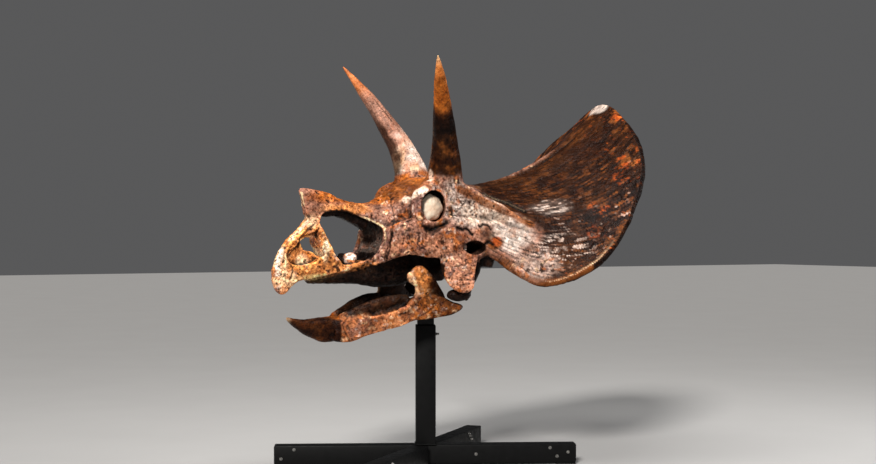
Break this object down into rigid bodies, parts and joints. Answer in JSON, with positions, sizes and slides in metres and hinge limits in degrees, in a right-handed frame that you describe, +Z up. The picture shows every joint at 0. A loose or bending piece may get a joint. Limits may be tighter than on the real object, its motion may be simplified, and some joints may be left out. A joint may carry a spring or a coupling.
{
  "type": "mounted horned dinosaur skull",
  "caption": "Horned dinosaur skull with long brow horns, hooked beak, open jaws and a broad bony frill, carried on a black steel post with a low crossed-beam foot; a still museum display.",
  "frame": {"origin": "on the floor, under the middle of the stand's post", "axes": "+Z up; the snout points towards -Y and the frill towards +Y; the animal's left side is towards +X"},
  "size_m": [1.5144, 2.3187, 2.4123],
  "materials": {
    "beak_bone": "varnished",
    "snout_bone": "varnished",
    "nose_bone": "varnished",
    "cheek_bone": "varnished",
    "brow_bone": "varnished",
    "dark_horn_bone": "varnished",
    "pale_horn_bone": "varnished",
    "frill_bone": "varnished",
    "side_frill_bone": "varnished",
    "jaw_bone": "varnished",
    "jaw_tip_bone": "varnished",
    "plaster": "matt",
    "stand_paint": "satin black"
  },
  "bodies": {
    "root": {"braincase": "cheek_bone", "brow_horn_left": "dark_horn_bone", "brow_horn_right": "pale_horn_bone", "dentary_left": "jaw_bone", "dentary_right": "jaw_bone", "epijugal_left": "cheek_bone", "epijugal_right": "cheek_bone", "jugal_left": "cheek_bone", "jugal_right": "cheek_bone", "maxilla_left": "cheek_bone", "maxilla_right": "cheek_bone", "nasal_horn": "nose_bone", "nasals": "nose_bone", "orbit_fill_left": "plaster", "orbit_fill_right": "plaster", "orbital_left": "brow_bone", "orbital_right": "brow_bone", "parietal": "frill_bone", "predentary": "jaw_tip_bone", "premaxillae": "snout_bone", "quadrate_left": "cheek_bone", "quadrate_right": "cheek_bone", "rostral": "beak_bone", "squamosal_left": "side_frill_bone", "squamosal_right": "side_frill_bone", "stand_beam_far": "stand_paint", "stand_beam_long": "stand_paint", "stand_beam_near": "stand_paint", "stand_clamp_bolt": "stand_paint", "stand_inner_post": "stand_paint", "stand_jaw_rod_left": "stand_paint", "stand_jaw_rod_right": "stand_paint", "stand_pad_far_end": "stand_paint", "stand_pad_frill_end": "stand_paint", "stand_pad_middle": "stand_paint", "stand_pad_near_end": "stand_paint", "stand_pad_snout_end": "stand_paint", "stand_post": "stand_paint", "surangular_left": "jaw_bone", "surangular_right": "jaw_bone"}
  },
  "joints": []
}
